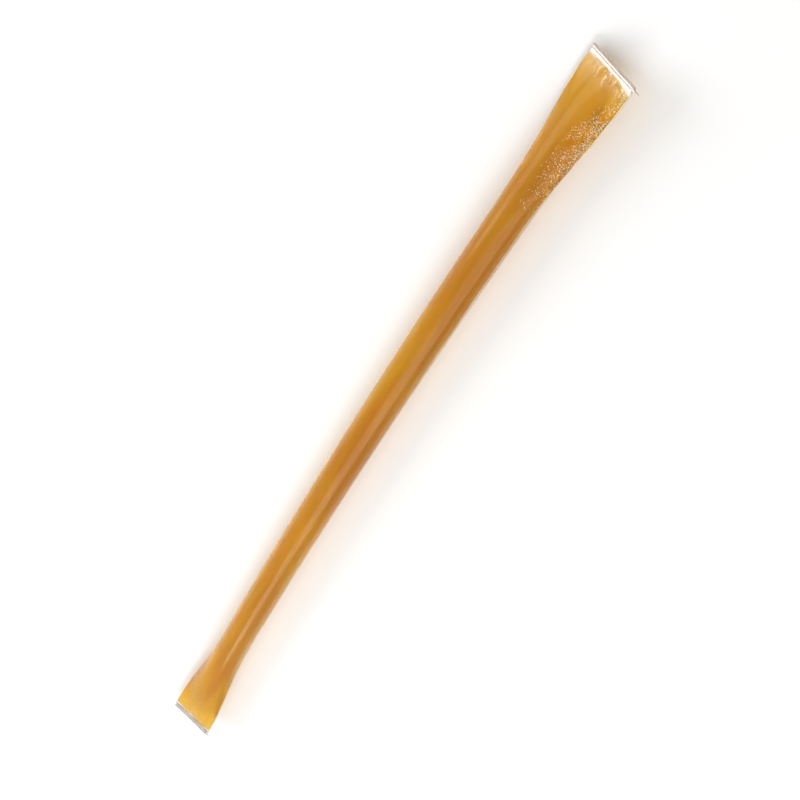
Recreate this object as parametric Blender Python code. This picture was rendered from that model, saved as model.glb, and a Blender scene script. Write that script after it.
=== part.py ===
"""A honey stick: a soft clear tube full of honey, pressed flat and welded shut at both ends.

The stick lies along X on a narrow flat on the underside of its tube, with +Z up. The origin is at
the middle of its underside. The end at +X is the upper one, with the longer thread on its weld.
Run it with: blender --background --python part.py
"""

import math

import bmesh
import bpy

# Driving dimensions, in metres
STICK_LENGTH = 0.180
TUBE_DIAMETER = 0.0060
WALL = 0.0002
TAPER_LENGTH = 0.028  # from the weld to where the tube is round again
WELD_LENGTH = 0.0010  # where the two walls are one, with the bead at its outer edge
BEAD_WIDTH = 0.0007  # along the stick
BEAD_THICKNESS = 0.0006
REST_WIDTH = 0.0022  # the flat that the tube lies on
BOW = 0.0016  # how far the middle stands out sideways from the ends

# How each end is turned about the stick's axis, in degrees, and the thread its weld draws out
UPPER_ROLL = -28.0
LOWER_ROLL = -13.0
UPPER_THREAD = 0.0012
LOWER_THREAD = 0.0006

# The shape of the taper: 1 would be a straight wedge, and more eases it into the round tube
TAPER_POWER = 1.5
# Halfway between a circle and a flat strip the blended outline is 10 % short, which this makes up
GIRTH_LOSS = 0.4

AROUND = 48
TAPER_STEPS = 18
STRAIGHT_STEPS = 14
BEAD_STATIONS = (0.0, 0.06, 0.22, 0.5, 0.78, 1.0)  # as shares of the bead's width
WELDED_POINTS = 1e-7

TUBE_RADIUS = TUBE_DIAMETER / 2
BORE_RADIUS = TUBE_RADIUS - WALL
HALF_LENGTH = STICK_LENGTH / 2
AXIS_HEIGHT = math.sqrt(TUBE_RADIUS**2 - (REST_WIDTH / 2) ** 2)


def clear_scene():
    for old in list(bpy.data.objects):
        bpy.data.objects.remove(old)


def flatness(x):
    """How far the tube is pressed at x: 0 where it is round, and 1 in the weld."""
    from_weld = HALF_LENGTH - WELD_LENGTH - abs(x)
    share = min(max(from_weld / TAPER_LENGTH, 0.0), 1.0)
    return (1.0 - share) ** TAPER_POWER


def half_thickness(x):
    """The wall's thickness at x, and in the weld half of what the fused walls or the bead measure."""
    from_end = HALF_LENGTH - abs(x)
    across = 2.0 * from_end / BEAD_WIDTH - 1.0
    bead = BEAD_THICKNESS / 2 * math.sqrt(max(1.0 - across**2, 0.0))
    return bead if across < 0 else max(bead, WALL)


def pressed_section(x, step):
    """The point (y, z) of the outside at x, before its end is turned; step counts round from +Y.

    It is a blend of a circle and a flat strip of the same girth, plus the wall.
    """
    flat = flatness(x)
    angle = 2.0 * math.pi * step / AROUND
    side = 1.0 if step <= AROUND // 2 else -1.0
    half = angle if side > 0 else 2.0 * math.pi - angle
    size = BORE_RADIUS / (1.0 - GIRTH_LOSS * flat * (1.0 - flat))
    y = size * ((1.0 - flat) * math.cos(half) + flat * (math.pi / 2 - half))
    z = size * (1.0 - flat) * math.sin(half)
    if step in (0, AROUND // 2):  # the fold down each side
        return y + math.copysign(WALL, y), 0.0
    out_y = (1.0 - flat) * math.cos(half)
    out_z = (1.0 - flat) * math.sin(half) + flat
    length = math.hypot(out_y, out_z)
    return y + WALL * out_y / length, side * (z + half_thickness(x) * out_z / length)


def thread_length(x):
    """How far the weld's bead is drawn out past its corner at x."""
    from_end = HALF_LENGTH - abs(x)
    peak = max(1.0 - abs(2.0 * from_end / BEAD_WIDTH - 1.0), 0.0)
    return peak * (UPPER_THREAD if x > 0 else LOWER_THREAD)


def roll_at(x):
    """The turn of the section about the axis, in radians, constant in each taper."""
    reach = HALF_LENGTH - WELD_LENGTH - TAPER_LENGTH
    share = min(max((x + reach) / (2.0 * reach), 0.0), 1.0)
    return math.radians(LOWER_ROLL + share * (UPPER_ROLL - LOWER_ROLL))


def surface_point(x, step):
    """A point of the outside, with the section turned, bowed and pressed on what it lies on."""
    y, z = pressed_section(x, step)
    if step == AROUND // 2:
        y -= thread_length(x)
    roll = roll_at(x)
    across = y * math.cos(roll) - z * math.sin(roll)
    up = y * math.sin(roll) + z * math.cos(roll)
    bow = BOW * (1.0 - (x / HALF_LENGTH) ** 2)
    return x, across + bow, max(AXIS_HEIGHT + up, 0.0)


def stations():
    """Where the sections stand along X: close together in the beads and tapers."""
    bead = [HALF_LENGTH - share * BEAD_WIDTH for share in BEAD_STATIONS]
    weld = HALF_LENGTH - WELD_LENGTH
    taper = [weld - TAPER_LENGTH * i / TAPER_STEPS for i in range(TAPER_STEPS + 1)]
    half = bead + taper
    reach = taper[-1]
    middle = [reach - 2.0 * reach * i / STRAIGHT_STEPS for i in range(1, STRAIGHT_STEPS)]
    return half + middle + [-x for x in reversed(half)]


def centred(mesh):
    """Moves the mesh so that the middle of its box's underside is at the origin."""
    for axis in (0, 1):
        values = [v.co[axis] for v in mesh.verts]
        shift = (min(values) + max(values)) / 2
        for vert in mesh.verts:
            vert.co[axis] -= shift


def stick_mesh():
    """Bridges the sections from end to end; each end section is a line, which closes the solid."""
    mesh = bmesh.new()
    rings = []
    for x in stations():
        rings.append([mesh.verts.new(surface_point(x, step)) for step in range(AROUND)])
    for first, second in zip(rings, rings[1:]):
        for i in range(AROUND):
            j = (i + 1) % AROUND
            mesh.faces.new((first[i], first[j], second[j], second[i]))
    bmesh.ops.remove_doubles(mesh, verts=mesh.verts, dist=WELDED_POINTS)
    bmesh.ops.recalc_face_normals(mesh, faces=mesh.faces)
    bmesh.ops.triangulate(mesh, faces=mesh.faces)
    centred(mesh)
    return mesh


def honey_material():
    """Amber honey seen through the clear tube."""
    material = bpy.data.materials.new("honey_in_clear_tube")
    material.use_nodes = True
    shader = material.node_tree.nodes["Principled BSDF"]
    shader.inputs["Base Color"].default_value = (0.66, 0.33, 0.06, 1.0)
    shader.inputs["Roughness"].default_value = 0.25
    shader.inputs["Metallic"].default_value = 0.0
    return material


def main():
    clear_scene()
    mesh = stick_mesh()
    data = bpy.data.meshes.new("honey_stick")
    mesh.to_mesh(data)
    mesh.free()
    data.shade_smooth()
    data.set_sharp_from_angle(angle=math.radians(50.0))
    data.materials.append(honey_material())
    stick = bpy.data.objects.new("honey_stick", data)
    bpy.context.scene.collection.objects.link(stick)


main()
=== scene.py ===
import math

import bmesh
import bpy
from mathutils import Matrix, Vector, noise


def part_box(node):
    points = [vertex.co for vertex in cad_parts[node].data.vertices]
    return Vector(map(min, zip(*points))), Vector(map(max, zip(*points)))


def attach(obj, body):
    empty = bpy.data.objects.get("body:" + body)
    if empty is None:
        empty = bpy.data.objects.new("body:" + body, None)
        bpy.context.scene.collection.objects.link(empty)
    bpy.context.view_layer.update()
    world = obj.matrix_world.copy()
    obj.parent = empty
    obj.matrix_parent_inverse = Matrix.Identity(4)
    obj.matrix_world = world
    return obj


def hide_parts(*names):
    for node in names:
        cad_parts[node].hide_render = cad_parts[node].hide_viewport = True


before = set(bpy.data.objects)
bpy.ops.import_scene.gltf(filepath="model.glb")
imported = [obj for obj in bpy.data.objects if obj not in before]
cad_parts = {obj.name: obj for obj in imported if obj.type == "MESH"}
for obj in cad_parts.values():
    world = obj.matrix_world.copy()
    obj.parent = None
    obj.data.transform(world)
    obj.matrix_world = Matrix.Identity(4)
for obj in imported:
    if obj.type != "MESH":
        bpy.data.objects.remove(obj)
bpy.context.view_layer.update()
low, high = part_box("honey_stick")
halfLength = (high.x - low.x) / 2
print("frame loaded, stick length", round(2 * halfLength, 4))

mm = 0.001

# The tube's form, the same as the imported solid's, and the relief of its soft wall.
tube = {
    "diameter": 6.0 * mm,
    "wall": 0.2 * mm,
    "taper": 28.0 * mm,  # from the weld to where the tube is round again
    "taperPower": 1.5,
    "girthLoss": 0.4,
    "weld": 1.0 * mm,
    "beadWidth": 0.7 * mm,
    "beadThickness": 0.6 * mm,
    "restWidth": 2.2 * mm,
    "bow": 1.6 * mm,
    "upperRoll": -28.0,  # degrees, at +X
    "lowerRoll": -13.0,
    "upperThread": 1.2 * mm,
    "dent": 0.02 * mm,  # slow waves all along the soft wall
    "dentLength": 14.0 * mm,
    "dentFade": 10.0 * mm,
    "pucker": 0.10 * mm,  # folds that fan out from each weld
    "puckerStart": 1.2 * mm,
    "puckerReach": 7.0 * mm,
    "puckerWidth": 1.3 * mm,
    "puckerLength": 9.0 * mm,
    "fanWidth": 4.6 * mm,  # half the weld's width
    "hollow": 0.22 * mm,  # the dip beside each side crease, near the welds
    "hollowFade": 5.0 * mm,
    "hollowPlace": 0.72,  # from the middle of a face, 0, to its crease, 1
    "hollowWidth": 0.17,
    "edgeWave": 0.10 * mm,  # how far the cut edge wanders
    "edgeWaveLength": 2.2 * mm,
    "edgeWaveFade": 1.0 * mm,
}
wall = tube["wall"]
boreRadius = tube["diameter"] / 2 - wall
axisHeight = math.sqrt((tube["diameter"] / 2) ** 2 - (tube["restWidth"] / 2) ** 2)
weldX = halfLength - tube["weld"]  # where the two walls become one
cornerY = boreRadius * math.pi / 2 + wall  # the weld's corner, before it is turned


def smooth(share):
    share = min(max(share, 0.0), 1.0)
    return share * share * (3 - 2 * share)


def wave(x, y, z, seed):
    # Smooth noise from about -1 to 1.
    return 1.6 * noise.noise(Vector((x + 31.7 * seed, y - 12.9 * seed, z + 5.3 * seed)))


def flatness(x):
    share = min(max((weldX - abs(x)) / tube["taper"], 0.0), 1.0)
    return (1.0 - share) ** tube["taperPower"]


def halfThickness(x):
    fromEnd = halfLength - abs(x)
    across = 2.0 * fromEnd / tube["beadWidth"] - 1.0
    bead = tube["beadThickness"] / 2 * math.sqrt(max(1.0 - across**2, 0.0))
    return bead if across < 0 else max(bead, wall)


def rollAt(x):
    reach = weldX - tube["taper"]
    share = min(max((x + reach) / (2 * reach), 0.0), 1.0)
    return math.radians(tube["lowerRoll"] + share * (tube["upperRoll"] - tube["lowerRoll"]))


def relief(x, half, side, flat):
    # How far the soft wall stands in from its even form, less than nothing where it bulges.
    fromWeld = weldX - abs(x)
    if fromWeld <= 0:
        return 0.0
    end = 1.0 if x > 0 else -1.0
    y, z = math.cos(half), math.sin(half)
    dents = tube["dent"] * wave(x / tube["dentLength"], 0.9 * y, 0.9 * side * z, 1)
    dents *= smooth(fromWeld / tube["dentFade"])
    fan = y * tube["fanWidth"] / tube["puckerWidth"]
    folds = 0.5 + 0.5 * wave(fan, fromWeld / tube["puckerLength"], side + 3 * end, 2)
    reach = smooth(fromWeld / tube["puckerStart"]) * math.exp(-fromWeld / tube["puckerReach"])
    dip = math.exp(-(((abs(y) - tube["hollowPlace"]) / tube["hollowWidth"]) ** 2))
    dip *= smooth(fromWeld / tube["hollowFade"]) * smooth(1.6 * flat)
    return (dents + tube["pucker"] * folds * reach) * z + tube["hollow"] * dip * flat


def section(x, turn, depth, uneven=1.0):
    # The point (y, z) that lies depth inside the film's outer face, before its end is turned.
    # turn goes round from +Y, in radians, and uneven is how much of the relief it follows.
    flat = flatness(x)
    side = 1.0 if turn <= math.pi else -1.0
    half = turn if side > 0 else 2 * math.pi - turn
    size = boreRadius / (1 - tube["girthLoss"] * flat * (1 - flat))
    y = size * ((1 - flat) * math.cos(half) + flat * (math.pi / 2 - half))
    z = size * (1 - flat) * math.sin(half)
    if half < 1e-9 or half > math.pi - 1e-9:  # the two creases
        return y + math.copysign(wall - depth, y), 0.0
    outY = (1 - flat) * math.cos(half)
    outZ = (1 - flat) * math.sin(half) + flat
    length = math.hypot(outY, outZ)
    depth += uneven * relief(x, half, side, flat)
    z += (halfThickness(x) - depth) * outZ / length
    return y + (wall - depth) * outY / length, side * max(z, 0.0)


def placed(x, y, z, depth):
    # Turns, bows and rests a point of a section: the wall lies flat where it meets the floor.
    roll = rollAt(x)
    across = y * math.cos(roll) - z * math.sin(roll)
    up = y * math.sin(roll) + z * math.cos(roll)
    bow = tube["bow"] * (1 - (x / halfLength) ** 2)
    return Vector((x, across + bow - sideShift, max(axisHeight + up, depth)))


def wallPoint(x, turn, depth=0.0):
    y, z = section(x, turn, depth)
    return placed(x, y, z, depth)


def cutWave(x, y, seed):
    # How far the welded end stands back from a straight cut, at y.
    end = 1.0 if x > 0 else -1.0
    back = tube["edgeWave"] * (0.5 + 0.5 * wave(y / tube["edgeWaveLength"], end * 4.0, 0.0, seed))
    fade = tube["edgeWaveFade"]
    return back * smooth((abs(x) - weldX + fade) / (fade + tube["weld"]))


# The bow and the thread put the stick off centre, which this takes back.
sideShift = 0.0
threadTip = placed(halfLength, -(cornerY + tube["upperThread"]), 0.0, 0.0).y
farSide = max(wallPoint(0.0, math.radians(turn)).y for turn in range(360))
sideShift = (threadTip + farSide) / 2

meshes = {
    "fine": 0.5 * mm,  # between stations in the tapers
    "closest": 0.35,  # times as far beside a weld
    "closeReach": 6.0 * mm,
    "coarse": 1.2 * mm,  # and along the round tube
    "filmSides": 112,
    "filmCrowd": 0.6,  # how much closer together the points are at the creases
    "honeySides": 96,
    "honeyCrowd": 0.5,
    "beadStations": (0.0, 0.03, 0.1, 0.22, 0.36, 0.5, 0.64, 0.78, 0.9, 1.0, 1.2),
}


def turnList(count, crowd):
    # Turns right round, closer together at the two creases.
    turns = []
    for i in range(count // 2):
        share = 2.0 * i / count
        turns.append(math.pi * (share - crowd * math.sin(2 * math.pi * share) / (2 * math.pi)))
    return turns + [math.pi] + [2 * math.pi - t for t in reversed(turns[1:])]


def stationList():
    # Places along X from weld to weld, close together in the tapers.
    spots = []
    fromEnd = 0.0
    while fromEnd < tube["taper"]:
        spots.append(weldX - fromEnd)
        opened = smooth(fromEnd / meshes["closeReach"])
        fromEnd += meshes["fine"] * (meshes["closest"] + (1 - meshes["closest"]) * opened)
    start = spots[-1]
    steps = math.ceil(2 * start / meshes["coarse"])
    middle = [start - 2 * start * i / steps for i in range(1, steps)]
    return spots + middle + [-x for x in reversed(spots)]


def bridged(rings, inward=False):
    # A closed skin over the rings; the first and the last are flat, so each merges to a line.
    mesh = bmesh.new()
    made = [[mesh.verts.new(p) for p in ring] for ring in rings]
    for first, second in zip(made, made[1:]):
        for i in range(len(first)):
            j = (i + 1) % len(first)
            mesh.faces.new((first[i], first[j], second[j], second[i]))
    bmesh.ops.remove_doubles(mesh, verts=mesh.verts, dist=1e-7)
    bmesh.ops.recalc_face_normals(mesh, faces=mesh.faces)
    if inward:
        bmesh.ops.reverse_faces(mesh, faces=mesh.faces)
    return mesh


def piece(name, parts, material, sharp=60.0):
    # One object from bmeshes, with edges over sharp degrees kept crisp.
    data = bpy.data.meshes.new(name)
    whole = bmesh.new()
    for part in parts:
        part.to_mesh(data)
        whole.from_mesh(data)
        part.free()
    whole.to_mesh(data)
    whole.free()
    data.shade_smooth()
    data.set_sharp_from_angle(angle=math.radians(sharp))
    data.materials.append(material)
    made = bpy.data.objects.new(name, data)
    bpy.context.scene.collection.objects.link(made)
    return made


# Helpers for materials.


def newMaterial(name):
    material = bpy.data.materials.new(name)
    material.use_nodes = True
    return material, material.node_tree, material.node_tree.nodes["Principled BSDF"]


def setInputs(nodeTree, node, values):
    # Each value is plain or another node's socket, under the input's name or number.
    for key, value in values.items():
        if isinstance(value, bpy.types.NodeSocket):
            nodeTree.links.new(value, node.inputs[key])
        else:
            node.inputs[key].default_value = value


def addNode(nodeTree, kind, values):
    made = nodeTree.nodes.new(kind)
    setInputs(nodeTree, made, values)
    return made


def mathNode(nodeTree, operation, first, second):
    made = addNode(nodeTree, "ShaderNodeMath", {0: first, 1: second})
    made.operation = operation
    return made.outputs["Value"]


def noiseOver(nodeTree, stretch, scale, detail):
    # Noise in object space, scale cells for each metre. A stretch below 1 draws it out.
    place = nodeTree.nodes.new("ShaderNodeTexCoord").outputs["Object"]
    mapping = addNode(nodeTree, "ShaderNodeMapping", {"Vector": place, "Scale": stretch})
    values = {"Vector": mapping.outputs["Vector"], "Scale": scale, "Detail": detail}
    return addNode(nodeTree, "ShaderNodeTexNoise", values).outputs["Fac"]


def ranged(nodeTree, source, fromLow, fromHigh, toLow, toHigh):
    values = {
        "Value": source,
        "From Min": fromLow,
        "From Max": fromHigh,
        "To Min": toLow,
        "To Max": toHigh,
    }
    return addNode(nodeTree, "ShaderNodeMapRange", values).outputs["Result"]


def mixedColour(nodeTree, share, first, second):
    values = {"Fac": share, "Color1": first, "Color2": second}
    return addNode(nodeTree, "ShaderNodeMixRGB", values).outputs["Color"]


def mottled(nodeTree, pattern, look):
    # Goes from one tint to the other over look["spread"] of a pattern.
    share = ranged(nodeTree, pattern, *look["spread"], 0.0, 1.0)
    return mixedColour(nodeTree, share, *look["tints"])


def roughened(nodeTree, pattern, look):
    return ranged(nodeTree, pattern, *look["roughSpread"], *look["roughness"])


def bumped(nodeTree, height, strength, distance):
    values = {"Strength": strength, "Distance": distance, "Height": height}
    return addNode(nodeTree, "ShaderNodeBump", values).outputs["Normal"]


def objectAxis(nodeTree, axis):
    place = nodeTree.nodes.new("ShaderNodeTexCoord").outputs["Object"]
    return addNode(nodeTree, "ShaderNodeSeparateXYZ", {"Vector": place}).outputs[axis]


def nearWeld(nodeTree, reach, height):
    # From 0, reach short of a weld, to height in it.
    along = mathNode(nodeTree, "ABSOLUTE", objectAxis(nodeTree, "X"), 0.0)
    return ranged(nodeTree, along, weldX - reach, weldX, 0.0, height)


# The film: a thin, see-through coat with an outer and an inner wall. A noise has its stretch,
# its cells for each metre and its detail, here as in the other dictionaries.
film = {
    # The warm colour is a painted glow of the honey's light in the film, and it tints the film's
    # sheen too; the weld colour is the film's own, where no honey lies behind.
    "colour": (0.96, 0.84, 0.62, 1.0),
    "weldColour": (0.74, 0.64, 0.58, 1.0),
    "weldColourReach": 4.0 * mm,
    "metallic": 0.6,  # a clear film's shine is a mirror's, spread thin
    "haze": ((0.15, 1.0, 1.0), 450.0, 4.0),
    "roughness": (0.14, 0.30),
    "roughSpread": (0.35, 0.7),  # where in the haze it goes from the first to the second
    "clear": 0.005,  # how much of what is behind it is hidden, seen straight on
    "cloudy": 0.018,
    "cloudSpread": (0.42, 0.70),
    "slanted": 0.20,  # and at its outline
    "slantPower": 5.0,
    "melted": 0.36,  # in the weld, where the walls are fused
    "meltedReach": 0.2 * mm,
    "weldHaze": 0.10,
    "hazeReach": 5.0 * mm,  # from the weld to where its haze ends
    "scuffs": ((0.35, 1.0, 1.0), 2600.0, 3.0),  # pale ones that run out of the weld
    "scuffSpread": (0.48, 0.64),
    "frost": 0.40,  # how much the scuffs hide
    "frostReach": 3.0 * mm,
    "frostSide": (2.5 * mm, -3.5 * mm, 0.25),  # in Y, where weakest and strongest, and how weak
    "dieLines": ((0.02, 1.0, 1.0), 3500.0, 2.0),  # fine ones, from the die that drew the tube
    "dieLineBump": (0.25, 0.02 * mm),
    "innerWander": 1.6,  # the weld's inner edge wanders this much more than its cut one
}


def frosted(nodeTree):
    # Scuffs drawn out along the stick, near the welds only, and stronger towards -Y.
    scuffs = noiseOver(nodeTree, *film["scuffs"])
    spots = ranged(nodeTree, scuffs, *film["scuffSpread"], 0.0, 1.0)
    weakest, strongest, least = film["frostSide"]
    side = ranged(nodeTree, objectAxis(nodeTree, "Y"), weakest, strongest, least, 1.0)
    near = nearWeld(nodeTree, film["frostReach"], film["frost"])
    return mathNode(nodeTree, "MULTIPLY", mathNode(nodeTree, "MULTIPLY", spots, side), near)


def coverOf(nodeTree, haze):
    # The film hides more where it is cloudy, where it is seen at a slant and near the welds.
    veil = ranged(nodeTree, haze, *film["cloudSpread"], film["clear"], film["cloudy"])
    facing = addNode(nodeTree, "ShaderNodeLayerWeight", {"Blend": 0.5})
    rim = mathNode(nodeTree, "POWER", facing.outputs["Facing"], film["slantPower"])
    edge = mathNode(nodeTree, "MULTIPLY", rim, film["slanted"])
    fused = nearWeld(nodeTree, film["meltedReach"], film["melted"])
    reached = nearWeld(nodeTree, film["hazeReach"], film["weldHaze"])
    hazy = mathNode(nodeTree, "MULTIPLY", haze, reached)
    hazy = mathNode(nodeTree, "ADD", hazy, frosted(nodeTree))
    cover = mathNode(nodeTree, "ADD", veil, hazy)
    return mathNode(nodeTree, "ADD", cover, mathNode(nodeTree, "ADD", edge, fused))


def filmMaterial():
    material, nodeTree, shader = newMaterial("clearFilm")
    haze = noiseOver(nodeTree, *film["haze"])
    lines = noiseOver(nodeTree, *film["dieLines"])
    # Painted honey glow in the film's colour, giving way to the weld's own colour near the welds.
    near = nearWeld(nodeTree, film["weldColourReach"], 1.0)
    values = {
        "Base Color": mixedColour(nodeTree, near, film["colour"], film["weldColour"]),
        "Metallic": film["metallic"],
        "Roughness": roughened(nodeTree, haze, film),
        "Alpha": coverOf(nodeTree, haze),
        "Normal": bumped(nodeTree, lines, *film["dieLineBump"]),
    }
    setInputs(nodeTree, shader, values)
    return material


filmTurns = turnList(meshes["filmSides"], meshes["filmCrowd"])


def filmShell(stations, depth, wander, seed, inward=False):
    # One face of the film, depth inside the outer one.
    rings = []
    for x in stations:
        ring = []
        for turn in filmTurns:
            y, z = section(x, turn, depth)
            point = placed(x, y, z, depth)
            point.x -= math.copysign(cutWave(x, y, seed) * wander, x)
            ring.append(point)
        rings.append(ring)
    return bridged(rings, inward)


beadSpots = [halfLength - share * tube["beadWidth"] for share in meshes["beadStations"]]
outerStations = beadSpots + stationList() + [-x for x in reversed(beadSpots)]
outerShell = filmShell(outerStations, 0.0, 1.0, 5)
innerShell = filmShell(stationList(), wall, film["innerWander"], 6, True)
clearFilm = piece("clearFilm", [outerShell, innerShell], filmMaterial(), 70.0)
print("film made,", len(clearFilm.data.polygons), "faces")

# The honey, from weld to weld inside the film.
honey = {
    "tints": ((0.78, 0.42, 0.03, 1.0), (0.90, 0.60, 0.03, 1.0)),  # it drifts between them
    "drift": ((0.10, 1.0, 1.0), 300.0, 2.0),
    "spread": (0.38, 0.62),
    "endTint": (0.86, 0.54, 0.05, 1.0),  # near the welds, where it is thin
    "endTintReach": 14.0 * mm,
    "clearness": 0.70,  # the rest of the light is scattered
    "glowReach": (0.6 * mm, 0.45 * mm, 0.15 * mm),  # how far each colour of it spreads
    "ior": 1.33,
    "roughness": 0.10,
    "shine": (0.25, 0.15, 0.05, 1.0),  # weak, because the film lies against it
    "clouds": ((0.4, 1.0, 1.0), 700.0, 3.0),
    "cloudBump": (0.1, 0.04 * mm),
    "passes": (0.93, 0.745, 0.0, 1.0),  # what a short way through it leaves of each colour
    "density": 330.0,  # for each metre
    "firstEnd": 0.1 * mm,  # from the weld to where the honey begins
    "endWander": 0.45 * mm,
    "cornerGap": 0.35 * mm,
    "endReach": 9.0 * mm,
    "uneven": 0.6,
    "unevenFrom": 1.0 * mm,  # nearer its end it is even, so that the end is one line
    "wedge": 0.16,  # how steeply it thins to nothing between the walls
}


def honeyMaterial():
    material, nodeTree, shader = newMaterial("amberHoney")
    body = mottled(nodeTree, noiseOver(nodeTree, *honey["drift"]), honey)
    near = nearWeld(nodeTree, honey["endTintReach"], 1.0)
    clouds = noiseOver(nodeTree, *honey["clouds"])
    values = {
        "Base Color": mixedColour(nodeTree, near, body, honey["endTint"]),
        "IOR": honey["ior"],
        "Roughness": honey["roughness"],
        "Specular Tint": honey["shine"],
        "Subsurface Weight": 1.0,
        "Subsurface Radius": honey["glowReach"],
        "Subsurface Scale": 1.0,
        "Transmission Weight": honey["clearness"],
        "Normal": bumped(nodeTree, clouds, *honey["cloudBump"]),
    }
    setInputs(nodeTree, shader, values)
    values = {"Color": honey["passes"], "Density": honey["density"]}
    absorption = addNode(nodeTree, "ShaderNodeVolumeAbsorption", values)
    output = nodeTree.nodes["Material Output"]
    setInputs(nodeTree, output, {"Volume": absorption.outputs["Volume"]})
    return material


def honeyStart(turn, end):
    # How far from the weld the honey ends, at each place across it.
    half = turn if turn <= math.pi else 2 * math.pi - turn
    y = math.cos(half)
    wander = honey["endWander"] * (0.5 + 0.5 * wave(2.1 * y, 3.0 * end, 0.0, 8))
    return honey["firstEnd"] + wander + honey["cornerGap"] * abs(y) ** 6


def honeyPoint(x, turn):
    end = 1.0 if x > 0 else -1.0
    fromEnd = weldX - abs(x)
    fromWeld = fromEnd
    if fromEnd < honey["endReach"]:
        start = honeyStart(turn, end)
        fromWeld = start + fromEnd * (1 - start / honey["endReach"])
    x = end * (weldX - fromWeld)
    tallest = section(x, math.pi / 2, wall / 2, 0.0)[1]
    uneven = honey["uneven"] * smooth(fromEnd / honey["unevenFrom"])
    y, z = section(x, turn, wall / 2, uneven)
    return placed(x, y, z * min(honey["wedge"] * fromEnd / tallest, 1.0), wall / 2)


honeyTurns = turnList(meshes["honeySides"], meshes["honeyCrowd"])
honeyBody = bridged([[honeyPoint(x, turn) for turn in honeyTurns] for x in stationList()])
honeyFill = piece("honeyFill", [honeyBody], honeyMaterial())
print("honey made,", len(honeyFill.data.polygons), "faces")

# Helpers for Geometry Nodes, which strew the crystals and bubbles and sweep the strands.


def newTree(name, sizes, counts):
    # A node tree that takes and gives geometry, with a named input for each size and count.
    group = bpy.data.node_groups.new(name, "GeometryNodeTree")
    face = group.interface
    face.new_socket("Geometry", in_out="INPUT", socket_type="NodeSocketGeometry")
    for label in sizes:
        face.new_socket(label, in_out="INPUT", socket_type="NodeSocketFloat")
    for label in counts:
        face.new_socket(label, in_out="INPUT", socket_type="NodeSocketInt")
    face.new_socket("material", in_out="INPUT", socket_type="NodeSocketMaterial")
    face.new_socket("Geometry", in_out="OUTPUT", socket_type="NodeSocketGeometry")
    return group, group.nodes.new("NodeGroupInput"), group.nodes.new("NodeGroupOutput")


def shareNode(group):
    # The share that each point carries.
    share = addNode(group, "GeometryNodeInputNamedAttribute", {"Name": "share"})
    share.data_type = "FLOAT"
    return share.outputs["Attribute"]


def finishTree(group, made, given, result):
    # Makes the instances real and gives them their material.
    real = addNode(group, "GeometryNodeRealizeInstances", {"Geometry": made})
    values = {"Geometry": real.outputs["Geometry"], "Material": given.outputs["material"]}
    finish = addNode(group, "GeometryNodeSetMaterial", values)
    setInputs(group, result, {"Geometry": finish.outputs["Geometry"]})


def scatterTree():
    # Small balls strewn over a surface and sunk below it, most of them near the smallest.
    sizes = ("density", "smallest", "largest", "depth")
    group, given, result = newTree("scatterInHoney", sizes, ("seed", "detail"))
    asked = given.outputs

    def randomShare(offset):
        seed = mathNode(group, "ADD", asked["seed"], offset)
        return addNode(group, "FunctionNodeRandomValue", {"Seed": seed}).outputs["Value"]

    values = {
        "Mesh": asked["Geometry"],
        "Density": mathNode(group, "MULTIPLY", asked["density"], shareNode(group)),
        "Seed": asked["seed"],
    }
    points = addNode(group, "GeometryNodeDistributePointsOnFaces", values)

    sunk = mathNode(group, "MULTIPLY", asked["depth"], randomShare(11))
    inward = group.nodes.new("ShaderNodeVectorMath")
    inward.operation = "SCALE"
    back = mathNode(group, "MULTIPLY", sunk, -1.0)
    setInputs(group, inward, {0: points.outputs["Normal"], "Scale": back})
    values = {"Geometry": points.outputs["Points"], "Offset": inward.outputs["Vector"]}
    moved = addNode(group, "GeometryNodeSetPosition", values)

    cubed = mathNode(group, "POWER", randomShare(23), 3.0)
    values = {"Radius": 1.0, "Subdivisions": asked["detail"]}
    ball = addNode(group, "GeometryNodeMeshIcoSphere", values)
    values = {
        "Points": moved.outputs["Geometry"],
        "Instance": ball.outputs["Mesh"],
        "Scale": ranged(group, cubed, 0.0, 1.0, asked["smallest"], asked["largest"]),
    }
    balls = addNode(group, "GeometryNodeInstanceOnPoints", values)
    finishTree(group, balls.outputs["Instances"], given, result)
    return group


def strandTree():
    # A rod along a path, as thick at each point as its share says.
    group, given, result = newTree("strandOnPath", ("thickness",), ("sides",))
    asked = given.outputs
    path = addNode(group, "GeometryNodeMeshToCurve", {"Mesh": asked["Geometry"]})
    values = {"Resolution": asked["sides"], "Radius": asked["thickness"]}
    rim = addNode(group, "GeometryNodeCurvePrimitiveCircle", values)
    values = {
        "Curve": path.outputs["Curve"],
        "Profile Curve": rim.outputs["Curve"],
        "Scale": shareNode(group),
        "Fill Caps": True,
    }
    swept = addNode(group, "GeometryNodeCurveToMesh", values)
    finishTree(group, swept.outputs["Mesh"], given, result)
    return group


scatterGroup = scatterTree()
strandGroup = strandTree()


def hostObject(name, mesh, shares):
    # What a node tree starts from: a mesh whose points carry their share, from 0 to 1.
    data = bpy.data.meshes.new(name)
    mesh.to_mesh(data)
    mesh.free()
    data.attributes.new("share", "FLOAT", "POINT").data.foreach_set("value", shares)
    made = bpy.data.objects.new(name, data)
    bpy.context.scene.collection.objects.link(made)
    return made


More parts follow.
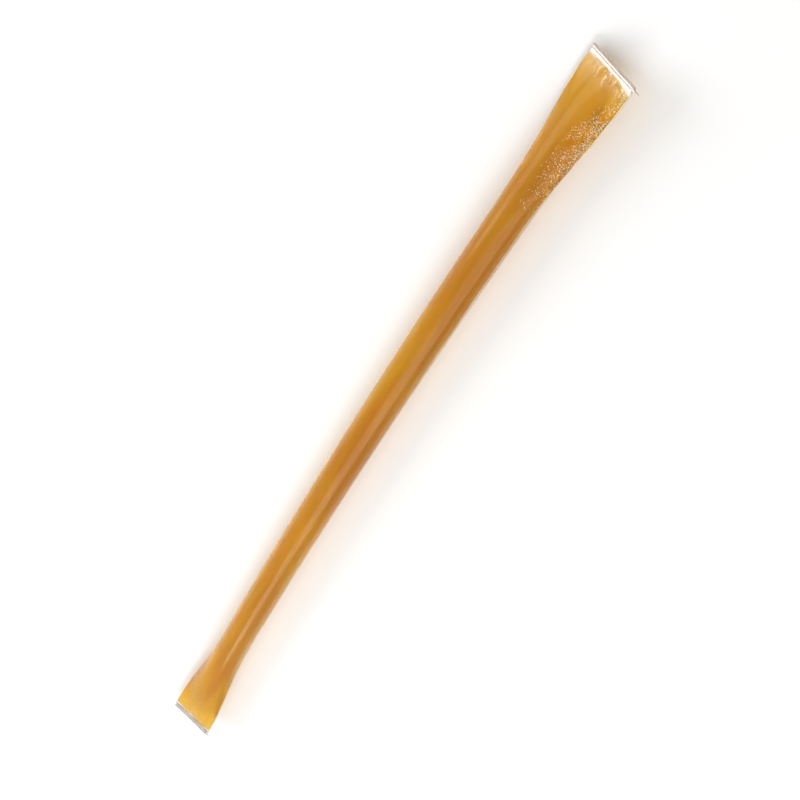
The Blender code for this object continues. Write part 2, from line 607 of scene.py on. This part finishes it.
def treeApplied(name, host, group, material, values):
    # Runs a node tree on host and keeps only the plain mesh that it makes.
    modifier = host.modifiers.new("tree", "NODES")
    modifier.node_group = group
    for item in group.interface.items_tree:
        if item.in_out == "INPUT" and item.name in values:
            modifier[item.identifier] = values[item.name]
        if item.in_out == "INPUT" and item.name == "material":
            modifier[item.identifier] = material
    evaluated = host.evaluated_get(bpy.context.evaluated_depsgraph_get())
    data = bpy.data.meshes.new_from_object(evaluated)
    bpy.data.objects.remove(host)
    data.name = name
    data.shade_smooth()
    data.materials.clear()  # the balls bring an empty slot
    data.materials.append(material)
    made = bpy.data.objects.new(name, data)
    bpy.context.scene.collection.objects.link(made)
    return made


def patch(name, end, look, shareAt):
    # A strip of the tube's form, look["under"] inside it and look["nearest"] to look["farthest"]
    # from a weld. shareAt says how thickly each place on it is strewn.
    along, across = look["patchSteps"]
    fromX, toX = end * (weldX - look["nearest"]), end * (weldX - look["farthest"])
    fromTurn, toTurn = look["turns"]
    mesh = bmesh.new()
    rows = []
    shares = []
    for i in range(along + 1):
        x = fromX + (toX - fromX) * i / along
        row = []
        for j in range(across + 1):
            turn = math.radians(fromTurn + (toTurn - fromTurn) * j / across)
            row.append(mesh.verts.new(wallPoint(x, turn % (2 * math.pi), look["under"])))
            shares.append(shareAt(i / along, j / across))
        rows.append(row)
    for first, second in zip(rows, rows[1:]):
        for j in range(across):
            mesh.faces.new((first[j], first[j + 1], second[j + 1], second[j]))
    middle = sum((v.co for v in mesh.verts), Vector()) / len(mesh.verts)
    for face in mesh.faces:
        face.normal_update()
        centre = face.calc_center_median()
        outward = centre - Vector((centre.x, middle.y, axisHeight))
        if face.normal.dot(outward) < 0:
            face.normal_flip()
    return hostObject(name, mesh, shares)


# Pale crystals along the raised crease of the upper end.
crystals = {
    "density": 7.0e7,  # for each square metre
    "smallest": 0.03 * mm,  # radii
    "largest": 0.09 * mm,
    "depth": 0.10 * mm,
    "seed": 4,
    "detail": 1,
    "nearest": 0.3 * mm,  # to the weld
    "farthest": 27.0 * mm,
    "turns": (178, 104),  # degrees round from +Y, from the crease into the face
    "under": 0.01 * mm,
    "patchSteps": (60, 16),
    "width": (0.14, 0.80),  # share of that turn that is strewn, at the weld and further on
    "widensOver": 0.45,
    "tints": ((0.92, 0.72, 0.36, 1.0), (1.0, 0.91, 0.66, 1.0)),  # stained, and pale
    "grain": ((1.0, 1.0, 1.0), 6000.0, 2.0),
    "spread": (0.35, 0.65),
    "roughness": (0.22, 0.42),
    "roughSpread": (0.3, 0.7),
}


def crystalMaterial():
    # Some grains are whiter and some are stained by the honey.
    material, nodeTree, shader = newMaterial("paleCrystals")
    grain = noiseOver(nodeTree, *crystals["grain"])
    values = {
        "Base Color": mottled(nodeTree, grain, crystals),
        "Roughness": roughened(nodeTree, grain, crystals),
    }
    setInputs(nodeTree, shader, values)
    return material


def crystalShare(along, across):
    # A line at the crease that widens into the face below the weld, and then thins out.
    narrow, wide = crystals["width"]
    width = narrow + (wide - narrow) * smooth(along / crystals["widensOver"])
    fade = smooth(1.35 * (1 - along))
    clump = smooth(0.9 + 1.2 * wave(9 * along, 5 * across, 0.0, 14))
    return math.exp(-((across / width) ** 2)) * fade * clump


crystalHost = patch("crystalHost", 1, crystals, crystalShare)
honeyCrystals = treeApplied("honeyCrystals", crystalHost, scatterGroup, crystalMaterial(), crystals)
print("crystals made,", len(honeyCrystals.data.polygons), "faces")

# A few air bubbles below each weld, most of them in its corners.
bubbles = {
    "density": 3.0e6,
    "smallest": 0.08 * mm,
    "largest": 0.24 * mm,
    "depth": 0.3 * mm,
    "seed": 10,
    "detail": 2,
    "nearest": 0.8 * mm,
    "farthest": 9.0 * mm,
    "turns": (8, 172),
    "under": 0.25 * mm,
    "patchSteps": (60, 16),
    "tints": ((1.0, 0.90, 0.66, 1.0), (1.0, 0.98, 0.95, 1.0)),  # stained, and clear
    "skin": ((1.0, 1.0, 1.0), 4000.0, 2.0),
    "spread": (0.35, 0.6),
    "roughness": (0.01, 0.06),
    "roughSpread": (0.3, 0.7),
    "ior": 1.4,
}


def bubbleMaterial():
    # Air, with a thin skin of honey that varies.
    material, nodeTree, shader = newMaterial("airBubbles")
    skin = noiseOver(nodeTree, *bubbles["skin"])
    values = {
        "Base Color": mottled(nodeTree, skin, bubbles),
        "Roughness": roughened(nodeTree, skin, bubbles),
        "IOR": bubbles["ior"],
        "Transmission Weight": 1.0,
    }
    setInputs(nodeTree, shader, values)
    return material


def bubbleShare(along, across):
    edge = math.exp(-((along / 0.3) ** 2))
    corner = 0.25 + abs(2 * across - 1) ** 3
    return edge * corner * smooth(0.6 + 1.5 * wave(6 * along, 9 * across, 0.0, 15))


def bubblesMade():
    # Strewn at each end with a seed of its own, and joined.
    material = bubbleMaterial()
    parts = []
    for shift, end in enumerate((1, -1)):
        host = patch("bubbleHost", end, bubbles, bubbleShare)
        values = dict(bubbles, seed=bubbles["seed"] + shift)
        made = treeApplied("bubbles", host, scatterGroup, material, values)
        part = bmesh.new()
        part.from_mesh(made.data)
        parts.append(part)
        bpy.data.objects.remove(made)
    return piece("airBubbles", parts, material, 180.0)


airBubbles = bubblesMade()
print("bubbles made,", len(airBubbles.data.polygons), "faces")

# The fold lines down the sides.
folds = {
    "thickness": 0.13 * mm,  # a radius
    "sides": 8,
    "steps": 110,
    "reach": 74.0 * mm,  # how far the raised fold runs from a weld before it fades
    "lowReach": 34.0 * mm,  # and the one on the underside
    "overWeld": 0.2 * mm,
    "depth": 0.07 * mm,
    # A painted honey glow and a painted bright fold line, darker and paler at random.
    "tints": ((0.74, 0.55, 0.27, 1.0), (0.93, 0.82, 0.58, 1.0)),
    "pattern": ((0.3, 1.0, 1.0), 900.0, 3.0),
    "spread": (0.35, 0.65),
    "empty": (0.66, 0.60, 0.57, 1.0),  # where there is no honey behind it
    "emptyReach": 2.5 * mm,
    "roughness": 0.25,
    "cover": 0.75,
}


def foldPath(end, crease):
    # Along one side crease, from the weld to where the tube is round and the line fades.
    # Each point comes with how wide the strand is there, from 0 to 1.
    path = []
    reach = folds["reach"] if crease < 0 else folds["lowReach"]
    for i in range(folds["steps"] + 1):
        share = i / folds["steps"]
        x = end * (weldX + folds["overWeld"] - reach * share)
        point = wallPoint(x, math.pi if crease < 0 else 0.0, folds["depth"])
        width = smooth(12 * share + 0.5) * (0.6 + 0.4 * (1 - smooth(share / 0.35)))
        width *= smooth(3 * (1 - share))  # widest just below the weld, and fading at its end
        width *= 0.85 + 0.15 * wave(12 * share, 3.0 * end, 2.0 * crease, 21)
        path.append((point, max(width, 0.02)))
    return path


def foldMaterial():
    # Folded film is paler than the rest. Its amber tints are a painted glow of the honey behind it,
    # and its pale tint is a painted bright line where the fold scatters light. Near the welds, with
    # no honey behind, it is grey.
    material, nodeTree, shader = newMaterial("foldedFilm")
    tint = mottled(nodeTree, noiseOver(nodeTree, *folds["pattern"]), folds)
    near = nearWeld(nodeTree, folds["emptyReach"], 1.0)
    values = {
        "Base Color": mixedColour(nodeTree, near, tint, folds["empty"]),
        "Roughness": folds["roughness"],
        "Alpha": folds["cover"],
    }
    setInputs(nodeTree, shader, values)
    return material


def strandsMade(name, paths, look, material):
    mesh = bmesh.new()
    shares = []
    for path in paths:
        made = [mesh.verts.new(point) for point, _ in path]
        shares += [share for _, share in path]
        for first, second in zip(made, made[1:]):
            mesh.edges.new((first, second))
    return treeApplied(name, hostObject(name, mesh, shares), strandGroup, material, look)


foldPaths = [foldPath(end, crease) for end in (1, -1) for crease in (1, -1)]
foldLines = strandsMade("foldLines", foldPaths, folds, foldMaterial())

# The welds' melted beads, and the threads that they draw out at their corners.
melt = {
    "tints": ((0.62, 0.52, 0.47, 1.0), (0.88, 0.82, 0.77, 1.0)),
    "milk": ((1.0, 0.5, 1.0), 900.0, 3.0),
    "spread": (0.35, 0.65),
    "ior": 1.49,
    "roughness": 0.12,
    "clearness": 0.6,
}
threads = {
    "thickness": 0.15 * mm,
    "sides": 8,
    "steps": 14,
    "root": 0.15 * mm,  # how far inside the corner it starts
    "lift": 0.12,
    "tip": 0.14,  # as a share of its thickness
    # Its end, its crease, its length, and how much of that it bends along the stick.
    "all": ((1, -1, 1.1 * mm, 0.25), (-1, -1, 0.55 * mm, 0.2), (1, 1, 0.12 * mm, -0.3)),
}
beads = {
    "thickness": 0.14 * mm,
    "sides": 8,
    "steps": 60,
    "cornerGap": 0.12 * mm,
    "ridges": (0.22 * mm, 0.95 * mm),  # back from the cut edge
}


def weldMaterial():
    # Melted film: clear and a little milky.
    material, nodeTree, shader = newMaterial("meltedFilm")
    values = {
        "Base Color": mottled(nodeTree, noiseOver(nodeTree, *melt["milk"]), melt),
        "Roughness": melt["roughness"],
        "IOR": melt["ior"],
        "Transmission Weight": melt["clearness"],
    }
    setInputs(nodeTree, shader, values)
    return material


def threadPath(end, crease, length, bend):
    # Out of the bead's corner, away from the stick.
    path = []
    for i in range(threads["steps"] + 1):
        share = i / threads["steps"]
        x = end * (halfLength - tube["beadWidth"] / 2 - bend * length * share**2)
        y = crease * (cornerY - threads["root"] + (length + threads["root"]) * share)
        z = threads["lift"] * length * math.sin(5 * share)
        width = threads["tip"] + (1 - threads["tip"]) * (1 - share) ** 1.3
        path.append((placed(x, y, z, 0.0), width))
    return path


def weldPath(end, back):
    # Across the weld from corner to corner, back from its cut edge.
    path = []
    for i in range(beads["steps"] + 1):
        share = 2.0 * i / beads["steps"] - 1.0
        y = share * (cornerY - beads["cornerGap"])
        x = end * (halfLength - back)
        x -= end * cutWave(x, y, 5)
        width = 0.55 + 0.45 * smooth((1 - abs(share)) * 9)  # thinner in the corners
        width *= 1 + 0.25 * wave(7 * share, 5.0 * end, 1000 * back, 22)
        path.append((placed(x, y, 0.0, 0.0), width))
    return path


meltedFilm = weldMaterial()
threadPaths = [threadPath(*thread) for thread in threads["all"]]
weldThreads = strandsMade("weldThreads", threadPaths, threads, meltedFilm)
weldPaths = [weldPath(end, back) for back in beads["ridges"] for end in (1, -1)]
weldBeads = strandsMade("weldBeads", weldPaths, beads, meltedFilm)
strandFaces = sum(len(made.data.polygons) for made in (foldLines, weldThreads, weldBeads))
print("fold lines, threads and beads made,", strandFaces, "faces")

# The floor and the light.
stage = {
    "floorSize": 3.0,
    "floorColour": (0.87, 0.865, 0.855),
    "floorShade": 0.985,  # how dark its faint grain is beside it
    "floorGrain": ((1.0, 1.0, 1.0), 60.0, 2.0),
    "floorRoughness": 0.7,
    "floorGap": 0.1 * mm,  # so that the flat of the film and the floor aren't one plane
    "skyStrength": (0.66, 0.74),  # at the horizon and overhead
    "skyTop": 0.8,  # how high, from 0 to 1, it is as bright as overhead
    "keyPower": 1.8,
    "keySize": (0.5, 0.3),
    "keyPlace": (-0.36, -0.20, 0.42),
    "fillPower": 1.6,
    "fillSize": (0.5, 0.25),
    "fillPlace": (-0.05, 0.45, 0.22),
}


def makeFloor():
    mesh = bmesh.new()
    bmesh.ops.create_grid(mesh, x_segments=1, y_segments=1, size=stage["floorSize"] / 2)
    bmesh.ops.translate(mesh, verts=mesh.verts, vec=(0.0, 0.0, -stage["floorGap"]))
    material, nodeTree, shader = newMaterial("paleFloor")
    grain = noiseOver(nodeTree, *stage["floorGrain"])
    base = (*stage["floorColour"], 1.0)
    shade = (*(stage["floorShade"] * value for value in stage["floorColour"]), 1.0)
    values = {
        "Base Color": mixedColour(nodeTree, grain, base, shade),
        "Roughness": stage["floorRoughness"],
    }
    setInputs(nodeTree, shader, values)
    piece("paleFloor", [mesh], material)


def aimed(place, target, up):
    # A matrix at place whose -Z looks at target and whose Y is as near to up as it can be.
    back = (Vector(place) - Vector(target)).normalized()
    right = Vector(up).cross(back).normalized()
    top = back.cross(right)
    turned = Matrix((right, top, back)).transposed().to_4x4()
    turned.translation = Vector(place)
    return turned


def softbox(name, power, size, place):
    data = bpy.data.lights.new(name, "AREA")
    data.shape = "RECTANGLE"
    data.energy = power
    data.size, data.size_y = size
    lamp = bpy.data.objects.new(name, data)
    lamp.matrix_world = aimed(place, (0.0, 0.0, 0.0), (0.0, 0.0, 1.0))
    bpy.context.scene.collection.objects.link(lamp)


def makeLight():
    world = bpy.data.worlds.new("softSky")
    bpy.context.scene.world = world
    world.use_nodes = True
    sky = world.node_tree
    way = sky.nodes.new("ShaderNodeTexCoord").outputs["Generated"]
    up = addNode(sky, "ShaderNodeSeparateXYZ", {"Vector": way}).outputs["Z"]
    glow = ranged(sky, up, 0.0, stage["skyTop"], *stage["skyStrength"])
    setInputs(sky, sky.nodes["Background"], {"Color": (1.0, 1.0, 1.0, 1.0), "Strength": glow})
    softbox("keySoftbox", stage["keyPower"], stage["keySize"], stage["keyPlace"])
    softbox("fillSoftbox", stage["fillPower"], stage["fillSize"], stage["fillPlace"])


view = {
    "lens": 78.0,
    "clipStart": 0.01,
    "lineToAxis": 47.0,  # degrees between the line of sight and the stick
    "distance": 0.282,
    "aimAlong": 17.0 * mm,
    "lean": 33.0,  # of the stick from upright in the picture
}


def makeCamera():
    angle, lean = math.radians(view["lineToAxis"]), math.radians(view["lean"])
    aim = Vector((view["aimAlong"], 0.0, axisHeight))
    place = aim + view["distance"] * Vector((math.cos(angle), 0.0, math.sin(angle)))
    alongStick = Vector((math.sin(angle), 0.0, -math.cos(angle)))
    up = math.cos(lean) * alongStick - math.sin(lean) * Vector((0.0, -1.0, 0.0))
    data = bpy.data.cameras.new("camera")
    data.lens = view["lens"]
    data.clip_start = view["clipStart"]
    camera = bpy.data.objects.new("camera", data)
    camera.matrix_world = aimed(place, aim, up)
    bpy.context.scene.collection.objects.link(camera)
    bpy.context.scene.camera = camera


makeFloor()
makeLight()
makeCamera()
bpy.context.scene.view_settings.view_transform = "Standard"
bpy.context.scene.cycles.transparent_max_bounces = 24  # film, honey, film, crystals and beads
print("floor, light and camera made")

for made in (clearFilm, honeyFill, honeyCrystals, airBubbles, foldLines, weldBeads, weldThreads):
    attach(made, "root")
    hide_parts("honey_stick")

print("pieces ride on the frame")
